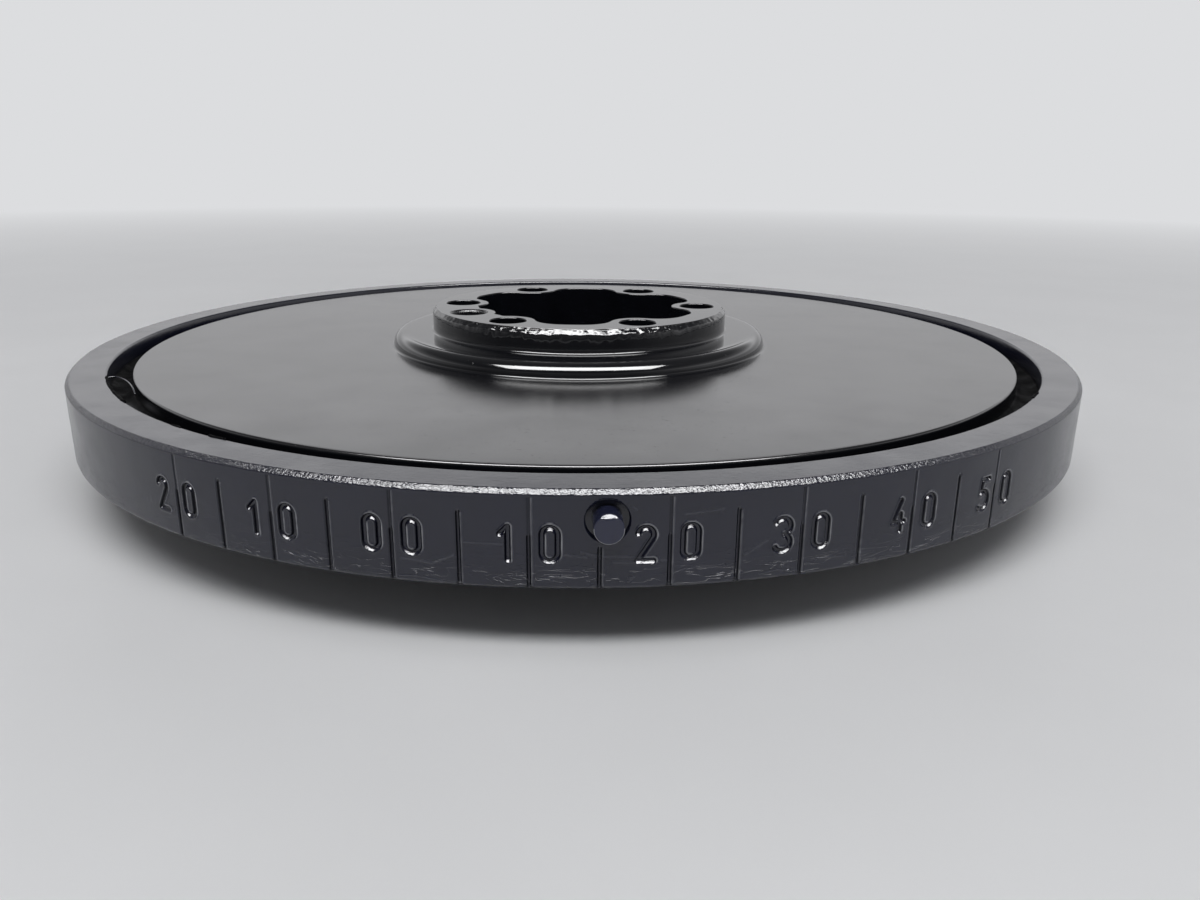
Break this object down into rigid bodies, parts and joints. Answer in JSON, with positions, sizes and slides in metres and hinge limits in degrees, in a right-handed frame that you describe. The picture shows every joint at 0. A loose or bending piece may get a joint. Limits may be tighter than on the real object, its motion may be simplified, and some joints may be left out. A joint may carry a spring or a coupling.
{
  "type": "harmonic balancer",
  "caption": "Crankshaft harmonic balancer: a flat hub disc with a lobed centre opening and bolt flange, rubber-bonded to an outer ring that carries a stamped timing scale.",
  "frame": {"origin": "centre of the rear seat face, where the crankshaft's axis leaves the hub", "axes": "+Z along the crankshaft's axis towards the front of the engine, -Y towards the zero mark of the timing scale"},
  "size_m": [0.23, 0.23, 0.0336],
  "materials": {
    "hub_paint": "gloss black enamel over turned cast iron",
    "damper_rubber": "matt black vulcanised rubber with overspray",
    "ring_paint": "black enamel over turned and stamped cast iron, satin on the top face",
    "pin_paint": "gloss black enamel over a steel pin"
  },
  "bodies": {
    "root": {"hub": "hub_paint", "rubber_ring": "damper_rubber", "inertia_ring": "ring_paint", "timing_pin": "pin_paint"}
  },
  "joints": []
}
